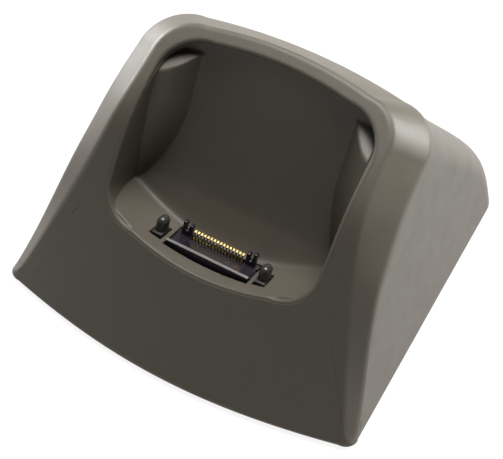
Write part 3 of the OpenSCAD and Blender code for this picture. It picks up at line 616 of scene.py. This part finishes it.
# ---- Rear housing
HOUSING_WALL = 2
JACK_X, JACK_Z, JACK_HOLE_R = -15, 13.5, 4.6
PORT_X, PORT_Z, PORT_HOLE = 10, 10.95, (5, 3.2)
angles = np.concatenate([np.linspace(0, 12, 9)[:-1], np.linspace(12, TILT_DEGREES, 36)])
outer = [fan_row(math.radians(a), HOUSING_INSET) for a in angles]
inner = [fan_row(math.radians(a), HOUSING_INSET + HOUSING_WALL) for a in angles]
points, faces = loft(outer + inner[::-1], close_rings=True, close_across=False)
n, rows = len(outer[0]), range(len(angles) * 2)
faces += [tuple(j * n for j in rows)[::-1], tuple(j * n + n - 1 for j in rows)]
housing = outwards(build("rear_housing_look", points, faces, "cradle", CASING))
cut(housing, rod("jack_hole", (JACK_X, 60, JACK_Z), JACK_HOLE_R, 30))
cut(housing, box("port_hole", (PORT_X - PORT_HOLE[0], 45, PORT_Z - PORT_HOLE[1]),
                 (PORT_X + PORT_HOLE[0], 75, PORT_Z + PORT_HOLE[1])))
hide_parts("rear_housing")

# ---- Connector, in the dock's own axes: x across, p backwards, q upwards
LOW, DECK_TOP, LEDGE_TOP = -3.6, 1.7, 2.65
CONNECTOR_HALF, BLOCK_FRONT, BLOCK_BACK = 12.7, -3.66, 5.54
CONTACTS, HOLE_HALF = 16, 0.375
POST_R, STEM_SHIFT, DOME_Q = 1.5, 0.73, 5.2
FOOT_HALF, FOOT_FRONT, FOOT_BACK, CHAMFER = 1.55, -2.9, 2.2, 0.25
HORN_IN, HORN_OUT, HORN_FRONT, HORN_BACK, HORN_TOP = 8.5, 11.5, 3.4, 5.4, 5.8


def finished(obj, body, mat, bevel, segments=3):
    """Rounds the edges of a solid built in the dock's axes and sets it on its body."""
    with_modifier(obj, "BEVEL", width=bevel * MM, segments=segments, limit_method="ANGLE",
                  angle_limit=math.radians(35), use_clamp_overlap=True)
    mesh = obj.data
    mesh.transform(DOCK)
    mesh.materials.clear()
    mesh.materials.append(mat)
    mesh.polygons.foreach_set("use_smooth", [True] * len(mesh.polygons))
    mesh.set_sharp_from_angle(angle=math.radians(40))
    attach(obj, body)
    return obj


def domed_stem(x):
    """A post's stem, round in front and behind and longer backwards than across."""
    sides = 48
    profile = [(FOOT_HALF, 1.5), (FOOT_HALF, 2.9), (POST_R, 3.4), (POST_R, DOME_Q)]
    profile += [(POST_R * math.cos(a), DOME_Q + 1.56 * math.sin(a)) for a in np.radians(np.arange(10, 90, 10))]
    profile += [(0.04, 6.77)]
    stem = bmesh.new()
    rings = [[stem.verts.new(((x + r * math.cos(b)) * MM,
                              (r * math.sin(b) + math.copysign(STEM_SHIFT, math.sin(b) + 1e-9)) * MM, q * MM))
              for b in np.radians(np.arange(sides) * 360 / sides)] for r, q in profile]
    for one, two in zip(rings, rings[1:]):
        for i in range(sides):
            stem.faces.new((one[i], one[(i + 1) % sides], two[(i + 1) % sides], two[i]))
    stem.faces.new(rings[0][::-1])
    stem.faces.new(rings[-1])
    return solid("stem", mesh_of("stem", stem))


# The block: a ledge along the front, a deck, a trough with a hole for each contact, and notched ends
BLOCK_OUTLINE = [(BLOCK_FRONT, LOW), (BLOCK_BACK, LOW), (BLOCK_BACK, DECK_TOP - 0.15),
                 (BLOCK_BACK - 0.15, DECK_TOP), (-2.4, DECK_TOP), (-2.56, DECK_TOP + 0.16),
                 (-2.56, LEDGE_TOP - 0.15), (-2.71, LEDGE_TOP), (BLOCK_FRONT + 0.2, LEDGE_TOP),
                 (BLOCK_FRONT, LEDGE_TOP - 0.2)]
block = prism("connector_housing_look", BLOCK_OUTLINE, -CONNECTOR_HALF, CONNECTOR_HALF)
cut(block, box("trough", (-8.3, 2.7, 0), (8.3, 5.2, 5)))
for i in range(CONTACTS):
    x = i - (CONTACTS - 1) / 2
    cut(block, box("hole", (x - HOLE_HALF, 3.8, CUT_LOW), (x + HOLE_HALF, 4.6, 3)))
for x in (-CONNECTOR_HALF, CONNECTOR_HALF):
    cut(block, box("end_notch", (x - 0.35, -1.4, 0.9), (x + 0.35, 3.6, 3)))
finished(block, "connector", BLACK, 0.1)
# The ledge's front top edge gets the paler grey, a painted highlight standing in for light caught along that
# edge.
block.data.materials.append(LEDGE_HIGHLIGHT)
to_dock = DOCK.inverted()
for polygon in block.data.polygons:
    at = to_dock @ polygon.center / MM
    if -3.75 < at.y < -3.2 and at.z > 2.3 or at.y < -2.9 and at.z > 2.6:
        polygon.material_index = 1
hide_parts("connector_housing")

# A round-topped post and a two-pronged horn on each side
FOOT_OUTLINE = [(FOOT_FRONT, LOW), (FOOT_BACK, LOW), (FOOT_BACK, LEDGE_TOP - CHAMFER),
                (FOOT_BACK - CHAMFER, LEDGE_TOP), (FOOT_FRONT + CHAMFER, LEDGE_TOP),
                (FOOT_FRONT, LEDGE_TOP - CHAMFER)]
for side, name in ((-1, "left"), (1, "right")):
    post_x = side * POST_X
    foot = prism("guide_post_%s_look" % name, FOOT_OUTLINE, post_x - FOOT_HALF, post_x + FOOT_HALF)
    joined(foot, domed_stem(post_x))
    finished(foot, "connector", POST, 0.12)
    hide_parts("guide_post_" + name)

    x0, x1 = sorted((side * HORN_IN, side * HORN_OUT))
    horn = box("alignment_horn_%s_look" % name, (x0, HORN_FRONT, DECK_TOP), (x1, HORN_BACK, HORN_TOP))
    cut(horn, box("gap", (side * 10 - 0.45, 2, 3.2), (side * 10 + 0.45, 6, 6)))
    x0, x1 = sorted((side * (HORN_IN - 0.01), side * 9.6))
    cut(horn, box("low_tip", (x0, 2, 5.2), (x1, 6, 6)))
    finished(horn, "connector", BLACK, 0.3, 4)
    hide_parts("alignment_horn_" + name)

# ---- Camera: looks down from the front right, a little rolled
AZIMUTH, ELEVATION, CAMERA_ROLL = math.radians(22.44), math.radians(49.53), math.radians(7.94)
DISTANCE, MOVE_LEFT, MOVE_DOWN = 333.7, 2.54, 15.38
back = Vector((math.sin(AZIMUTH) * math.cos(ELEVATION), -math.cos(AZIMUTH) * math.cos(ELEVATION),
               math.sin(ELEVATION)))
right = Vector((math.cos(AZIMUTH), math.sin(AZIMUTH), 0))
up = back.cross(right)
right, up = (right * math.cos(CAMERA_ROLL) + up * math.sin(CAMERA_ROLL),
             up * math.cos(CAMERA_ROLL) - right * math.sin(CAMERA_ROLL))
target = Vector((0, PANEL_Y + 45, BASE_Z + 35))
place = target - right * MOVE_LEFT - up * MOVE_DOWN + back * DISTANCE
camera = bpy.data.objects.new("camera", bpy.data.cameras.new("camera"))
camera.data.sensor_width = 36
camera.data.lens = 85.1976
camera.data.clip_start, camera.data.clip_end = 0.01, 20
camera.matrix_world = Matrix.Translation(place * MM) @ Matrix((right, up, back)).transposed().to_4x4()
bpy.context.scene.collection.objects.link(camera)
bpy.context.scene.camera = camera

# ---- Floor and lights. The floor glows, so that it is white all round the object.
FLOOR_HALF = 6
floor_mesh = bpy.data.meshes.new("floor")
floor_mesh.from_pydata([(x * FLOOR_HALF, y * FLOOR_HALF, 0) for x, y in ((-1, -1), (1, -1), (1, 1), (-1, 1))],
                       [], [(0, 1, 2, 3)])
floor = bpy.data.objects.new("floor", floor_mesh)
white = material("floor_white", (0.12, 0.12, 0.12), 0.9, mottle=0.01, specular=0.1)
white.node_tree.nodes["Principled BSDF"].inputs["Emission Color"].default_value = (1, 1, 1, 1)
white.node_tree.nodes["Principled BSDF"].inputs["Emission Strength"].default_value = 0.9
floor_mesh.materials.append(white)
bpy.context.scene.collection.objects.link(floor)
floor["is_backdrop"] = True

world = bpy.data.worlds.new("world")
bpy.context.scene.world = world
world.use_nodes = True
world.node_tree.nodes["Background"].inputs["Color"].default_value = (1, 1, 1, 1)
world.node_tree.nodes["Background"].inputs["Strength"].default_value = 0.01

LIGHT_SIZE = 0.45
LIGHT_AIM = Vector((0, 0, 0.03))


def area_light(name, azimuth, elevation, power):
    """A square light one metre from the object's foot. Azimuth 0 is the front and 90 the right."""
    turn, rise = math.radians(azimuth), math.radians(elevation)
    data = bpy.data.lights.new(name, "AREA")
    data.shape, data.size, data.energy = "SQUARE", LIGHT_SIZE, power
    obj = bpy.data.objects.new(name, data)
    obj.location = (math.sin(turn) * math.cos(rise), -math.cos(turn) * math.cos(rise), math.sin(rise))
    obj.rotation_mode = "QUATERNION"
    obj.rotation_quaternion = (obj.location - LIGHT_AIM).to_track_quat("Z", "Y")
    bpy.context.scene.collection.objects.link(obj)


area_light("light_behind", 200, 60, 1.6)
area_light("light_behind_high", 180, 73, 14)
area_light("light_above_left", 270, 72, 1.4)
area_light("light_left", 250, 12, 16)
area_light("light_right_rear", 140, 22, 15)
bpy.context.scene.view_settings.view_transform = "Standard"

bpy.context.view_layer.update()
low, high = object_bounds()
